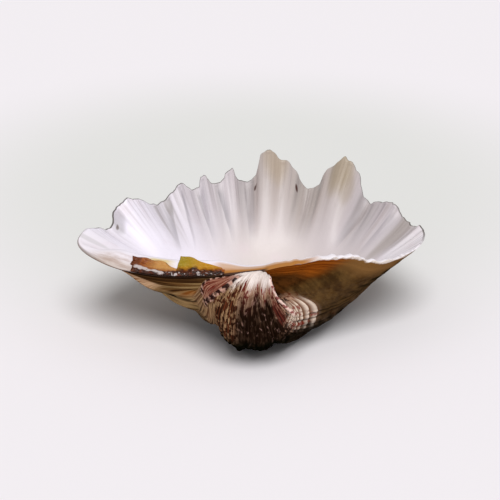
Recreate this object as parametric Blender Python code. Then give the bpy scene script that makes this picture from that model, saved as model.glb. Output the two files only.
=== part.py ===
"""One valve of a bear-paw clam, hollow side up, with the torn remnant of its ligament.

The shape follows the way such a shell grows. The margin is one closed loop. Carried back round the beak
along a logarithmic spiral, getting smaller as it turns, that loop sweeps out the whole outside of the
valve. A second spiral of the same kind, about an axis under the hinge, sweeps out the hollow. It shrinks
faster, so the wall is thin at the margin and thick towards the beak.

Shell frame, in millimetres: the beak is the origin, X runs along the hinge, Y from the hinge across to the
far margin, and Z up out of the hollow. Distances round the margin start behind the beak and go by the left
end to the far side. Turns are in radians.
"""

import bpy
import numpy as np

MM = 0.001

# Plan of the margin, seen square on: 205 mm long and 129 mm from hinge to far side
PLAN = [
    (0, 4), (-26, 5), (-55, 8.5), (-84, 17), (-103, 31), (-109, 47), (-100, 66), (-80, 89), (-52, 111),
    (-20, 127), (14, 133), (44, 127), (70, 111), (88, 88), (96, 64), (89, 42), (66, 24), (38, 12), (16, 6),
]

# Height of the margin against distance round it: one row for the hinge and each end, one for each lobe
RIM = [
    (0, -1), (29, -5), (60, -7), (84, -6), (100, -4), (112, -2.5), (123, -1), (138, 1.4), (148, -1.7),
    (158, -5.3), (166, 4), (175, 8.6), (186, 5),
    (196, 0), (205, 3), (214, 9.8),
    (224.5, 3.2), (228, 5), (232, 11.3),
    (239, 4.6), (246, 9.6), (251, 13.4), (255, 5.5),
    (261, 3), (266, 7), (269, 21), (275.5, 24.2), (281, 18.2), (288, 15.6), (293.5, 6),
    (299.5, -2.6), (307, 1), (312, 12), (318, 16.5), (324, 22), (331, 18.5), (335, 5),
    (343.5, -5.2), (349, -2), (363, 1.4), (373, -5),
    (382, -7.1), (393, -3), (402, -3), (420, -4), (433, -5.3),
    (450, -5.6), (455, -4.5), (467, 0.5), (481, 2.7), (489, 3.4), (502, 2.1), (516, 1),
]

# Growth spiral: how fast it shrinks per radian at the middle and the two ends, and where its axis lies
SHRINK_MIDDLE, SHRINK_LEFT, SHRINK_RIGHT = 0.695, 0.88, 0.78
SHRINK_CENTRE, SHRINK_REACH, SHRINK_BEND = -2.0, 100.0, 1.5
AXIS_DEPTH = 7.0
CLOSING_TURN, LAST_TURN = 3.3, 4.7

# The umbo swells, broadens, sways to the left and tilts over these spans of turn
BULGE, BULGE_SPAN = 0.42, (1.3, 3.2)
BREADTH, BREADTH_SPAN = 0.5, (1.2, 2.8)
SWAY, SWAY_SPAN, SWAY_BACK_SPAN = 12.0, (0.0, 2.0), (4.7, 2.9)
TILT, TILT_SPAN = 0.3, (1.0, 2.8)

# Folds: how much they stand out below the margin, and the broken edge that cuts across them
RIB_GAIN, RIB_SPAN = 0.2, (0.0, 0.4)
FOLD_ROUNDING, CALM_ROUNDING = 2.6, 24.0
TRIM_FADE = 6.0

# Flat margin: its width round the loop, a thin edge on the free sides and a broad shelf along the hinge
SHELF = [
    (0, 9), (30, 13), (75, 16), (95, 15), (112, 8), (126, 2.2), (142, 1.8), (430, 1.8), (455, 2.5),
    (480, 4), (505, 7),
]
SHELF_MIDDLE, SHELF_SQUARE = (-8.0, 42.0), 60.0
SHELF_RISE, SHELF_RISE_SPAN = 4.0, (0.0, 0.9)
HINGE_START_SPAN, HINGE_END_SPAN = (8.0, 30.0), (112.0, 88.0)
GROOVE_DEPTH, GROOVE_NEAR, GROOVE_FAR = 1.5, (0.05, 0.15), (0.72, 0.62)

# Hollow: the axis it turns about, how it shrinks, and how soon its folds die out and its wall thickens
CAVITY_AXIS = (-2.0, 11.0, -9.0)
CAVITY_SHRINK = 1.12
CAVITY_TURN, HINGE_TURN, HINGE_BAND = 2.4, 1.2, (15.0, 45.0)
WALL_GAIN, WALL_SPAN = 0.06, (0.0, 0.3)
FOLDS_SPAN = (0.0, 0.45)

# Ligament: where it starts, steps down and ends, its two heights, and its section across the shelf
LIGAMENT_FROM, LIGAMENT_STEP, LIGAMENT_TO = 24.0, 48.0, 82.0
LIGAMENT_HEIGHTS, LIGAMENT_BLUNT = (4.5, 2.6), 8.0
LIGAMENT_SECTION = [
    (0.14, 0), (0.14, 0.55), (0.24, 0.92), (0.4, 1), (0.54, 0.85), (0.62, 0.45), (0.62, 0), (0.4, 0),
]
STEP_SHARE = 0.1
GAP = 0.3

# Pose: the height of the worn patch that the valve stands on, and the middle of its box
WORN_HEIGHT = 55.2
CENTRE = (-6.5, 55.7)

COLUMNS, OUTER_ROWS, INNER_ROWS = 104, 25, 13
SHELF_ROWS = (0.0, 0.14, 0.4, 0.62, 1.0)
FREE_SIDE, FREE_SHARE = (112.0, 436.0), 0.78
TABLE = 1440


def ramp(value, start, full):
    """0 at start and 1 at full, with a smooth S between and no change beyond."""
    t = np.clip((value - start) / (full - start), 0, 1)
    return t * t * (3 - 2 * t)


def round_curve(points, steps=60):
    """A smooth closed curve through the points (Catmull-Rom), with the distance along it."""
    p1 = np.asarray(points, float)
    p0, p2, p3 = np.roll(p1, 1, 0), np.roll(p1, -1, 0), np.roll(p1, -2, 0)
    t = np.linspace(0, 1, steps, endpoint=False)[None, :, None]
    a, b, c, d = (p[:, None] for p in (p0, p1, p2, p3))
    curve = 0.5 * (2 * b + (c - a) * t + (2 * a - 5 * b + 4 * c - d) * t**2
                   + (3 * b - a - 3 * c + d) * t**3)
    curve = np.vstack([curve.reshape(-1, 2), p1[:1]])
    along = np.concatenate([[0], np.cumsum(np.linalg.norm(np.diff(curve, axis=0), axis=1))])
    return curve, along


OUTLINE, ALONG = round_curve(PLAN)
ROUND = ALONG[-1]
EVEN = np.arange(TABLE) * ROUND / TABLE


def through(knots, distance):
    """A curve through (distance, value) knots that repeats round the margin and never overshoots."""
    x, y = np.array(knots, float).T
    x = np.concatenate([x[-2:] - ROUND, x, x[:2] + ROUND])
    y = np.concatenate([y[-2:], y, y[:2]])
    step = np.diff(x)
    rise = np.diff(y) / step
    before, after = 2 * step[1:] + step[:-1], step[1:] + 2 * step[:-1]
    turning = rise[:-1] * rise[1:] <= 0
    safe = np.where(turning, 1, rise[:-1]), np.where(turning, 1, rise[1:])
    slope = np.zeros_like(y)
    slope[1:-1] = np.where(turning, 0, (before + after) / (before / safe[0] + after / safe[1]))
    place = np.mod(distance, ROUND)
    i = np.clip(np.searchsorted(x, place, side="right") - 1, 0, len(x) - 2)
    t = (place - x[i]) / step[i]
    return ((1 + 2 * t) * (1 - t)**2 * y[i] + t * (1 - t)**2 * step[i] * slope[i]
            + t * t * (3 - 2 * t) * y[i + 1] + t * t * (t - 1) * step[i] * slope[i + 1])


def rounded(values, width):
    """Values round the margin with every bend narrower than the width taken out."""
    waves = np.fft.rfft(values)
    count = np.arange(len(waves)) * 2 * np.pi * width / ROUND
    return np.fft.irfft(waves * np.exp(-0.5 * count**2), len(values))


# Three heights of the margin: its broken edge, the even folds behind that, and their calm middle line
EDGE = through(RIM, EVEN)
FOLDS = rounded(EDGE, FOLD_ROUNDING)
CALM = rounded(EDGE, CALM_ROUNDING)


def height(table, distance):
    return np.interp(np.mod(distance, ROUND), np.append(EVEN, ROUND), np.append(table, table[0]))


def plan(distance):
    place = np.mod(distance, ROUND)
    return np.interp(place, ALONG, OUTLINE[:, 0]), np.interp(place, ALONG, OUTLINE[:, 1])


def shrink(x, turn):
    """What a margin point has shrunk to after a turn: faster towards the ends, slower on the bulge.

    Over the last turns it closes to nothing along a quarter of an ellipse, which rounds off the beak.
    """
    end = np.where(x < 0, SHRINK_LEFT, SHRINK_RIGHT)
    share = np.abs((x - SHRINK_CENTRE) / SHRINK_REACH)**SHRINK_BEND
    rate = SHRINK_MIDDLE + (end - SHRINK_MIDDLE) * share
    closing = np.clip((turn - CLOSING_TURN) / (LAST_TURN - CLOSING_TURN), 0, 1)
    return np.exp(-rate * (turn - BULGE * ramp(turn, *BULGE_SPAN))) * np.sqrt(1 - closing**2)


def turned(x, y, z, turn):
    """Points carried back by a turn about the X axis, on the umbo's own broad, tilted path.

    The umbo is broader than the margin's own shape gives, stands to the left of the beak's tip, and is
    tilted so that its left side is the higher.
    """
    broad = x * (1 + BREADTH * ramp(turn, *BREADTH_SPAN))
    sway = SWAY * ramp(turn, *SWAY_SPAN) * ramp(turn, *SWAY_BACK_SPAN)
    return np.stack([
        broad - sway,
        y * np.cos(turn) + z * np.sin(turn),
        z * np.cos(turn) - y * np.sin(turn) - TILT * ramp(turn, *TILT_SPAN) * broad,
    ], -1)


def grown(distance, turn):
    """The margin point at this distance, carried back by a turn about the spiral's axis."""
    x, y = plan(distance)
    folds = height(FOLDS, distance)
    ribs = RIB_GAIN * ramp(turn, *RIB_SPAN) * (folds - height(CALM, distance))
    z = folds + ribs + AXIS_DEPTH
    size = shrink(x, turn)
    return turned(x * size, y * size, z * size, turn) - np.array([0, 0, AXIS_DEPTH])


def trim(distance):
    """Turn by which the broken edge runs past the even folds, where it is negative, or falls short."""
    x, y = plan(distance)
    reach = np.hypot(0.5 * x, y + 20)
    return (height(FOLDS, distance) - height(EDGE, distance)) / reach


def stations(count):
    """Distances round the margin, closer together on the free side, where the folds are."""
    start, stop = FREE_SIDE
    hinge = (1 - FREE_SHARE) * start / (start + ROUND - stop)
    return np.interp(np.arange(count) / count, [0, hinge, hinge + FREE_SHARE, 1], [0, start, stop, ROUND])


def outside(distance, rows):
    """Rings from the margin down to just short of the beak's tip."""
    turn = (np.arange(rows) / rows * LAST_TURN)[:, None]
    return grown(distance, turn + trim(distance) * np.exp(-TRIM_FADE * turn))


def hinge_side(distance):
    """1 along the hinge left of the beak, where the ligament sat, falling to 0 at both ends."""
    return ramp(distance, *HINGE_START_SPAN) * ramp(distance, *HINGE_END_SPAN)


def shelf(distance, edge, share):
    """A ring on the flat margin, at a share of its width, with the ligament's groove.

    The shelf runs inward from the edge: square to the hinge, and towards the middle on the free sides.
    """
    x, y = plan(distance)
    middle_x, middle_y = SHELF_MIDDLE
    square = np.stack([0.45 * (middle_x - x), np.where(y < 30, SHELF_SQUARE, middle_y - y)], -1)
    square /= np.linalg.norm(square, axis=1, keepdims=True)
    ring = edge.copy()
    ring[:, :2] += square * (share * through(SHELF, distance))[:, None]
    groove = GROOVE_DEPTH * ramp(share, *GROOVE_NEAR) * ramp(share, *GROOVE_FAR)
    ring[:, 2] += hinge_side(distance) * (SHELF_RISE * ramp(share, *SHELF_RISE_SPAN) - groove)
    return ring


def hollow(distance, edge, rows):
    """Rings from the shelf's inner edge down into the hollow, turning about an axis under the shelf.

    They follow the outside's growth but shrink faster, so the wall thickens towards the beak, and the
    folds die out a little way down, so the floor is smooth. The hinge side turns only half as far.
    """
    x, y, z = (shelf(distance, edge, 1.0) - np.array(CAVITY_AXIS)).T
    last = HINGE_TURN + (CAVITY_TURN - HINGE_TURN) * ramp(y + CAVITY_AXIS[1], *HINGE_BAND)
    turn = (np.arange(1, rows + 1) / rows)[:, None]**1.5 * last
    z = z - ramp(turn, *FOLDS_SPAN) * (height(FOLDS, distance) - height(CALM, distance))
    size = shrink(x, turn)**CAVITY_SHRINK * (1 - WALL_GAIN * ramp(turn, *WALL_SPAN))
    return turned(x * size, y * size, z * size, turn) + np.array(CAVITY_AXIS)


def posed(points):
    """From the shell's own frame to where it stands, with the patch it stands on worn flat."""
    x, y, z = np.moveaxis(points, -1, 0)
    return np.stack([x - CENTRE[0], y - CENTRE[1], np.maximum(z + WORN_HEIGHT, 0)], -1) * MM


def ring_faces(rings, count):
    """Quads between neighbouring rings of points that are stored ring after ring."""
    i, j = np.meshgrid(np.arange(rings - 1), np.arange(count), indexing="ij")
    a, b = i * count + j, i * count + (j + 1) % count
    return np.stack([a, b, b + count, a + count], -1).reshape(-1, 4).tolist()


def fan(ring, tip):
    return [(a, b, tip) for a, b in zip(ring, ring[1:] + ring[:1])]


def closed_mesh(name, rings):
    """One closed body from a stack of rings, each end closed by a point at the middle of its ring."""
    rows, count = rings.shape[:2]
    points = np.concatenate([rings.reshape(-1, 3), rings[[0, -1]].mean(1)])
    first = list(range(count))
    last = [(rows - 1) * count + j for j in range(count)]
    faces = ring_faces(rows, count) + fan(first[::-1], rows * count) + fan(last, rows * count + 1)
    mesh = bpy.data.meshes.new(name)
    mesh.from_pydata(points.tolist(), [], faces)
    mesh.update()
    mesh.shade_smooth()
    return mesh


def material(name, colour, roughness):
    made = bpy.data.materials.new(name)
    made.use_nodes = True
    principled = made.node_tree.nodes["Principled BSDF"]
    principled.inputs["Base Color"].default_value = (*colour, 1)
    principled.inputs["Roughness"].default_value = roughness
    principled.inputs["Metallic"].default_value = 0.0
    return made


def add_piece(name, rings, finish):
    mesh = closed_mesh(name, posed(rings))
    mesh.materials.append(finish)
    bpy.context.scene.collection.objects.link(bpy.data.objects.new(name, mesh))


def valve_rings():
    """The whole valve in one skin: up the hollow, over the shelf and the edge, and down the outside."""
    distance = stations(COLUMNS)
    skin = outside(distance, OUTER_ROWS)
    edge = skin[0]
    flat = np.stack([shelf(distance, edge, share) for share in SHELF_ROWS[:0:-1]])
    bowl = hollow(distance, edge, INNER_ROWS)
    return np.concatenate([bowl[::-1], flat, skin])


def ligament_rings():
    """What is left of the horny ligament, lying in its groove: a high block and a lower, longer strip."""
    distance = stations(COLUMNS)
    distance = distance[(distance > LIGAMENT_FROM) & (distance < LIGAMENT_TO)]
    edge = grown(distance, trim(distance))
    seat = np.stack([shelf(distance, edge, share) for share, _ in LIGAMENT_SECTION], 1)
    seat[..., 2] += GAP
    block, strip = LIGAMENT_HEIGHTS
    step = np.searchsorted(distance, LIGAMENT_STEP)
    blunt = (ramp(distance, LIGAMENT_FROM, LIGAMENT_FROM + LIGAMENT_BLUNT)
             * ramp(distance, LIGAMENT_TO, LIGAMENT_TO - LIGAMENT_BLUNT))
    tall = np.where(np.arange(len(distance)) < step, block, strip) * (1 + blunt) / 2
    foot = seat[step - 1] * (1 - STEP_SHARE) + seat[step] * STEP_SHARE
    seat = np.insert(seat, step, foot, 0)
    tall = np.insert(tall, step, strip)
    seat[..., 2] += tall[:, None] * np.array([rise for _, rise in LIGAMENT_SECTION])
    return seat


for leftover in list(bpy.data.objects):
    bpy.data.objects.remove(leftover, do_unlink=True)

add_piece("valve", valve_rings(), material("cream shell", (0.78, 0.70, 0.62), 0.45))
add_piece("ligament", ligament_rings(), material("dry ligament", (0.42, 0.20, 0.04), 0.40))
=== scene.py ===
# %% [markdown]
# # A clam shell with its hollow side up
# The subject is one valve of a bear-paw clam: a fan of folds that ends in a jagged edge, a coiled beak in
# front, and beside the beak the dried remnant of the ligament that once held two valves together. The solid
# model comes in as a fixed frame. This lesson dresses it with surfaces fine enough to carry riblets, growth
# steps and chips, and with finishes that are computed and not painted from a picture.

# %% Load the frame
import bpy
import numpy as np
from math import pi, radians, tau
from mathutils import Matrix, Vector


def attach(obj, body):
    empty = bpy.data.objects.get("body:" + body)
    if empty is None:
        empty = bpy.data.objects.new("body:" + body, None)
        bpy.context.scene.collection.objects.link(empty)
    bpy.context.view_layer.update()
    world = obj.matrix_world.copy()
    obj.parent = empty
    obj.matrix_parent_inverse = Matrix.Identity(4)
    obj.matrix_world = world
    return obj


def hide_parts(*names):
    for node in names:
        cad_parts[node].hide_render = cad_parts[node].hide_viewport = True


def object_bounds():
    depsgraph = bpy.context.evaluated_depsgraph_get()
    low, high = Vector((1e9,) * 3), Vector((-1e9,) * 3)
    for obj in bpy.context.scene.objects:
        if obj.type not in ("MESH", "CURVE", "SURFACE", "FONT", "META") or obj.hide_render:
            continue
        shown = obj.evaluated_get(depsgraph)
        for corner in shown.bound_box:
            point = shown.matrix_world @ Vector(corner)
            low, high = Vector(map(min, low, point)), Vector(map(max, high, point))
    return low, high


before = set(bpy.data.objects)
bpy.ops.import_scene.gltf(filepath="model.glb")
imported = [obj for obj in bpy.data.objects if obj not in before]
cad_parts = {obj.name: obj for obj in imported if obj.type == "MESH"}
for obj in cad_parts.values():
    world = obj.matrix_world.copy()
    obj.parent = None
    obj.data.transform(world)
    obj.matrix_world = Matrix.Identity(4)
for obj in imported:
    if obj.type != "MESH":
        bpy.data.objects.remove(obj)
solid_box = np.array(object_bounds(), float)
print("solid box in mm:", np.round(solid_box * 1000, 1).tolist())

# %% [markdown]
# ## Camera
# The photograph looks down at the shell by 24 degrees from 0.8 m through a long lens, so near and far lobes
# keep almost one scale. A camera could track an empty, but one placed and turned by numbers is easier to
# read: 66 degrees about X tips it from straight down to 24 degrees under the horizon.

# %% Camera
LOOK_DOWN, LENS, SENSOR_WIDTH = 24, 103.68, 36
CAMERA_PLACE = (-0.0017, -0.7815, 0.3917)
camera = bpy.data.objects.new("camera", bpy.data.cameras.new("camera"))
camera.location = CAMERA_PLACE
camera.rotation_euler = (radians(90 - LOOK_DOWN), 0, 0)
camera.data.sensor_width, camera.data.lens, camera.data.clip_start = SENSOR_WIDTH, LENS, 0.01
bpy.context.scene.collection.objects.link(camera)
bpy.context.scene.camera = camera
print("camera height in mm:", round(camera.location.z * 1000, 1))

# %% [markdown]
# ## Shader maths as plain expressions
# A finish here is a formula, such as "brown where the noise is high and the shell is old". In Blender that
# is a net of Math nodes, and added one by one they hide the formula. A small class that wraps a socket and
# overloads the operators lets it be read in one line.

# %% A value in a shader
class Wire:
    """A value in a shader. Arithmetic on it adds Math nodes."""

    def __init__(self, finish, socket):
        self.finish, self.socket = finish, socket

    def __add__(self, other):
        return self.finish.maths("ADD", self, other)

    def __sub__(self, other):
        return self.finish.maths("SUBTRACT", self, other)

    def __rsub__(self, other):
        return self.finish.maths("SUBTRACT", other, self)

    def __mul__(self, other):
        return self.finish.maths("MULTIPLY", self, other)

    def __truediv__(self, other):
        return self.finish.maths("DIVIDE", self, other)

    __radd__, __rmul__ = __add__, __mul__


print("Wire takes + - * /")

# %% [markdown]
# ## A finish and its nodes
# A material is a net of nodes behind one Principled shader. One method adds a node of any kind. A colour is
# written as a screen shows it. Shaders reckon in linear light, so it is turned into that first.

# %% A finish and its nodes
def shade(red, green, blue):
    """A colour as seen on a screen, in parts of 255, turned into the linear light that a shader uses."""
    value = np.array([red, green, blue]) / 255
    return (*np.where(value > 0.04045, ((value + 0.055) / 1.055)**2.4, value / 12.92).tolist(), 1.0)


class Finish:
    """A material with a Principled shader, and the nodes that feed it."""

    def __init__(self, name, roughness=0.5, specular=0.5):
        self.material = bpy.data.materials.new(name)
        self.material.use_nodes = True
        self.tree = self.material.node_tree
        self.shader = self.tree.nodes["Principled BSDF"]
        self.shader.inputs["Roughness"].default_value = roughness
        self.shader.inputs["Specular IOR Level"].default_value = specular

    def __str__(self):
        return f"{self.material.name}: {len(self.tree.nodes)} nodes"

    def node(self, kind, settings=None, inputs=None, output=0):
        """Any node: its settings first, then a number, a tuple or a Wire for each of its inputs."""
        made = self.tree.nodes.new("ShaderNode" + kind)
        for key, value in (settings or {}).items():
            setattr(made, key, value)
        for key, value in (inputs or {}).items():
            if isinstance(value, Wire):
                self.tree.links.new(value.socket, made.inputs[key])
            else:
                made.inputs[key].default_value = value
        return Wire(self, made.outputs[output])

    def maths(self, operation, *values):
        return self.node("Math", {"operation": operation}, dict(enumerate(values)))

    def part(self, vector, axis):
        """One number of a vector: 0 for X, 1 for Y, 2 for Z."""
        return self.node("SeparateXYZ", None, {0: vector}, output=axis)

    def attribute(self, name):
        """A number that the mesh carries at each of its points."""
        return self.node("Attribute", {"attribute_name": name}, output=2)

    def feed(self, name, wire):
        self.tree.links.new(wire.socket, self.shader.inputs[name])

    def point(self, x, y, z):
        return self.node("CombineXYZ", None, {0: x, 1: y, 2: z})

    def noise(self, place, scale=1.0, detail=2.0, rough=0.5):
        inputs = {"Vector": place, "Scale": scale, "Detail": detail, "Roughness": rough}
        return self.node("TexNoise", {"noise_dimensions": "3D"}, inputs)

    def bump(self, height, distance, under=None):
        """A Bump node for a height between 0 and 1 that stands up by the distance in metres."""
        inputs = {"Height": height, "Distance": distance, "Strength": 1.0}
        if under is not None:
            inputs["Normal"] = under
        return self.node("Bump", None, inputs)


print("porcelain white in linear light:", [round(v, 2) for v in shade(238, 232, 232)])

# %% [markdown]
# ## Masks and layers
# Where a finish shows is a mask from 0 to 1. It could be cut hard at a level, but real stains have soft
# limits, so a mask is made of smooth steps, and a hump is two of them. Colours are laid over one another
# like coats of paint, each with its mask.

# %% Masks and layers
def step(value, start, full):
    """0 at start and 1 at full, with a smooth S between; start may be the larger."""
    return value.finish.node("MapRange", {"interpolation_type": "SMOOTHSTEP"}, {0: value, 1: start, 2: full})


def hump(value, start, full, fading, end):
    """1 between full and fading, falling to 0 at start and end."""
    return step(value, start, full) * step(value, end, fading)


def blend(share, under, over):
    """One colour laid over another: a share of 0 leaves the one under, and 1 covers it."""
    under, over = (colour if isinstance(colour, Wire) else shade(*colour) for colour in (under, over))
    return share.finish.node("Mix", {"data_type": "RGBA"}, {0: share, 6: under, 7: over}, output=2)


def tone(value, start, full, first, last):
    """From the first colour to the last, as the value goes from start to full."""
    return blend(step(value, start, full), first, last)


def layers(colour, *over):
    """A colour with others laid over it in turn, each given as its share and its colour."""
    for share, upper in over:
        colour = blend(share, colour, upper)
    return colour


print("masks: step and hump; colours: blend, tone and layers")

# %% [markdown]
# ## Floor
# The photograph stands on a white sweep that is a little greyer round the shell. A real sweep curves up
# behind. From this angle one flat sheet does the same, with two pale colours that change with the distance
# from a point behind the shell. The grey round the shell is painted shade.

# %% Floor
FLOOR_CORNERS = [(-4, -4, 0), (4, -4, 0), (4, 6, 0), (-4, 6, 0)]
# Painted shade on the floor: grey near this centre, white further out.
SHADE_CENTRE, SHADE_TO, WHITE_FROM = (0.0, 0.22, 0.0), 0.12, 0.32
floor_mesh = bpy.data.meshes.new("floor")
floor_mesh.from_pydata(FLOOR_CORNERS, [], [(0, 1, 2, 3)])
floor = bpy.data.objects.new("floor", floor_mesh)
bpy.context.scene.collection.objects.link(floor)
paper = Finish("pale paper", roughness=0.9, specular=0.1)
floor_place = paper.node("TexCoord", output=3)
from_centre = paper.node("VectorMath", {"operation": "DISTANCE"}, {0: floor_place, 1: SHADE_CENTRE}, output=1)
paper.feed("Base Color", tone(from_centre, SHADE_TO, WHITE_FROM, (224, 224, 222), (240, 236, 240)))
floor_mesh.materials.append(paper.material)
print("floor in metres:", [round(side, 1) for side in floor.dimensions[:2]])

# %% [markdown]
# ## Light
# The light is soft and from above, with a grey shadow under each flank. An area lamp nearby would do, but
# its light falls off across the shell. A sun lamp that covers a wide angle is even, and as soft, because
# each point of the floor sees only a part of it past the shell. A pale sky fills in the rest.

# %% Light
def studio_light(name, lean, swing, spread, strength):
    """A broad far lamp. It leans from overhead towards the camera and swings to the right, in degrees."""
    lamp = bpy.data.objects.new(name, bpy.data.lights.new(name, "SUN"))
    lamp.data.angle, lamp.data.energy = radians(spread), strength
    lamp.rotation_euler = (radians(lean), 0, radians(swing))
    bpy.context.scene.collection.objects.link(lamp)


studio_light("soft lamp", lean=32, swing=6, spread=38, strength=2.42)
SKY_COLOUR, SKY_STRENGTH = (1.0, 0.99, 0.98, 1), 0.38
sky = bpy.data.worlds.new("studio sky")
sky.use_nodes = True
sky.node_tree.nodes["Background"].inputs["Color"].default_value = SKY_COLOUR
sky.node_tree.nodes["Background"].inputs["Strength"].default_value = SKY_STRENGTH
bpy.context.scene.world = sky
bpy.context.scene.view_settings.view_transform = "Standard"

# %% [markdown]
# ## The margin
# A shell grows only at its margin, so the margin's shape is the whole shell's shape. It could be a free
# curve in space. A plan, seen square on, and a height for each distance round it keep the folds in one row
# of numbers. The beak is the origin, X runs along the hinge, Y to the far side, Z up, in millimetres, as in
# the solid model.

# %% The margin
PLAN = [
    (0, 4), (-26, 5), (-55, 8.5), (-84, 17), (-103, 31), (-109, 47), (-100, 66), (-80, 89), (-52, 111),
    (-20, 127), (14, 133), (44, 127), (70, 111), (88, 88), (96, 64), (89, 42), (66, 24), (38, 12), (16, 6),
]
RIM = [
    (0, -1), (29, -5), (60, -7), (84, -6), (100, -4), (112, -2.5), (123, -1), (138, 1.4), (148, -1.7),
    (158, -5.3), (166, 4), (175, 8.6), (186, 5),
    (196, 0), (205, 3), (214, 9.8),
    (224.5, 3.2), (228, 5), (232, 11.3),
    (239, 4.6), (246, 9.6), (251, 13.4), (255, 5.5),
    (261, 3), (266, 7), (269, 21), (275.5, 24.2), (281, 18.2), (288, 15.6), (293.5, 6),
    (299.5, -2.6), (307, 1), (312, 12), (318, 16.5), (324, 22), (331, 18.5), (335, 5),
    (343.5, -5.2), (349, -2), (363, 1.4), (373, -5),
    (382, -7.1), (393, -3), (402, -3), (420, -4), (433, -5.3),
    (450, -5.6), (455, -4.5), (467, 0.5), (481, 2.7), (489, 3.4), (502, 2.1), (516, 1),
]


def ramp(value, start, full):
    """0 at start and 1 at full, with a smooth S between and no change beyond."""
    t = np.clip((value - start) / (full - start), 0, 1)
    return t * t * (3 - 2 * t)


def round_curve(points, steps=60):
    """A smooth closed curve through the points, with the distance along it.

    Between two points it is the cubic whose slope at each point is half the step from the point before to the
    point after (Catmull-Rom).
    """
    p1 = np.asarray(points, float)
    p0, p2, p3 = np.roll(p1, 1, 0), np.roll(p1, -1, 0), np.roll(p1, -2, 0)
    t = np.linspace(0, 1, steps, endpoint=False)[None, :, None]
    a, b, c, d = (p[:, None] for p in (p0, p1, p2, p3))
    curve = 0.5 * (2 * b + (c - a) * t + (2 * a - 5 * b + 4 * c - d) * t**2
                   + (3 * b - a - 3 * c + d) * t**3)
    curve = np.vstack([curve.reshape(-1, 2), p1[:1]])
    along = np.concatenate([[0], np.cumsum(np.linalg.norm(np.diff(curve, axis=0), axis=1))])
    return curve, along


OUTLINE, ALONG = round_curve(PLAN)
ROUND = ALONG[-1]
TABLE = 1440
EVEN = np.arange(TABLE) * ROUND / TABLE
print("round the margin in mm:", round(ROUND, 1))

# %% [markdown]
# ## Folds and broken edge
# The folds run on down the shell, but the bites and broken corners of the edge don't. So there are three
# heights round the margin: the edge itself, with straight breaks between more knots, the folds, which are
# slightly blurred and unbroken, and the calm line about which they swing, which is blurred strongly.

# %% Folds and broken edge
FOLD_BLUR, CALM_BLUR = 2.6, 24.0
ROUNDED_SHARE = 0.3
REBROKEN = ((157, 176), (195, 200), (212, 260), (325, 340))
BREAKS = [
    (158, -5.3), (161.3, -2.4), (163.6, 2.6), (165.2, 5.4), (171.3, 7.6), (175, 9.4), (196, -0.8),
    (199, -0.6),
    (215.3, 9.8), (218, 8.6), (222.5, 3.6), (226.5, 4), (228.2, 5.4), (228.9, 9), (230, 10.2), (233.2, 11.3),
    (234.6, 9.4), (236.5, 5.8), (239, 4.4), (243.4, 6.3), (245.2, 8.1), (246.1, 10.6), (249.4, 12.4),
    (251.5, 12.8), (252.6, 10.4), (253.5, 7.4), (256.2, 5), (328, 20), (331.5, 16.5), (334.2, 11.5),
    (335.2, 6.5), (338, -1),
]


def through(knots, distance):
    """A curve through (distance, value) knots that repeats round the margin and never overshoots.

    It is a cubic between knots, level where the values turn, and elsewhere with the harmonic mean of the two
    neighbouring slopes.
    """
    x, y = np.array(knots, float).T
    x = np.concatenate([x[-2:] - ROUND, x, x[:2] + ROUND])
    y = np.concatenate([y[-2:], y, y[:2]])
    gap = np.diff(x)
    rise = np.diff(y) / gap
    before, after = 2 * gap[1:] + gap[:-1], gap[1:] + 2 * gap[:-1]
    turning = rise[:-1] * rise[1:] <= 0
    safe = np.where(turning, 1, rise[:-1]), np.where(turning, 1, rise[1:])
    slope = np.zeros_like(y)
    slope[1:-1] = np.where(turning, 0, (before + after) / (before / safe[0] + after / safe[1]))
    place = np.mod(distance, ROUND)
    i = np.clip(np.searchsorted(x, place, side="right") - 1, 0, len(x) - 2)
    t = (place - x[i]) / gap[i]
    return ((1 + 2 * t) * (1 - t)**2 * y[i] + t * (1 - t)**2 * gap[i] * slope[i]
            + t * t * (3 - 2 * t) * y[i + 1] + t * t * (t - 1) * gap[i] * slope[i + 1])


def rounded(values, width):
    """Values round the margin with every bend narrower than the width taken out: a blur of that width."""
    turns = np.fft.rfft(values)
    count = np.arange(len(turns)) * tau * width / ROUND
    return np.fft.irfft(turns * np.exp(-0.5 * count**2), len(values))


def height(table, distance):
    """The height at a distance: a straight line between the two nearest values of the table."""
    return np.interp(np.mod(distance, ROUND), np.append(EVEN, ROUND), np.append(table, table[0]))


def plan(distance):
    """The X and Y of the margin at a distance: a straight line between the outline's nearest points."""
    place = np.mod(distance, ROUND)
    return np.interp(place, ALONG, OUTLINE[:, 0]), np.interp(place, ALONG, OUTLINE[:, 1])


unbroken = through(RIM, EVEN)
FOLDS, CALM = rounded(unbroken, FOLD_BLUR), rounded(unbroken, CALM_BLUR)
kept_knots = [knot for knot in RIM if not any(a < knot[0] < b for a, b in REBROKEN)]
broken_knots = sorted(kept_knots + BREAKS)
straight = np.interp(EVEN, *np.array(broken_knots, float).T, period=ROUND)
EDGE = ROUNDED_SHARE * through(broken_knots, EVEN) + (1 - ROUNDED_SHARE) * straight
print("lobes rise to", round(EDGE.max(), 1), "mm, from", len(broken_knots), "knots")

# %% [markdown]
# ## Growth
# Each older margin lies further back on a spiral about the beak and is smaller by the same share for every
# step of turn. So one formula gives the whole outside: turn the margin back about an axis through the beak,
# and shrink it. Sculpting would lose the growth lines that the finishes need. The ends shrink faster, so
# the shell spreads as a fan, and the umbo swells, broadens, sways and tilts a little, as the solid does.

# %% Growth
AXIS_DEPTH = 7.0
CLOSING_TURN, LAST_TURN = 3.3, 4.7
SHRINK_MIDDLE, SHRINK_LEFT, SHRINK_RIGHT = 0.695, 0.88, 0.78


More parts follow.
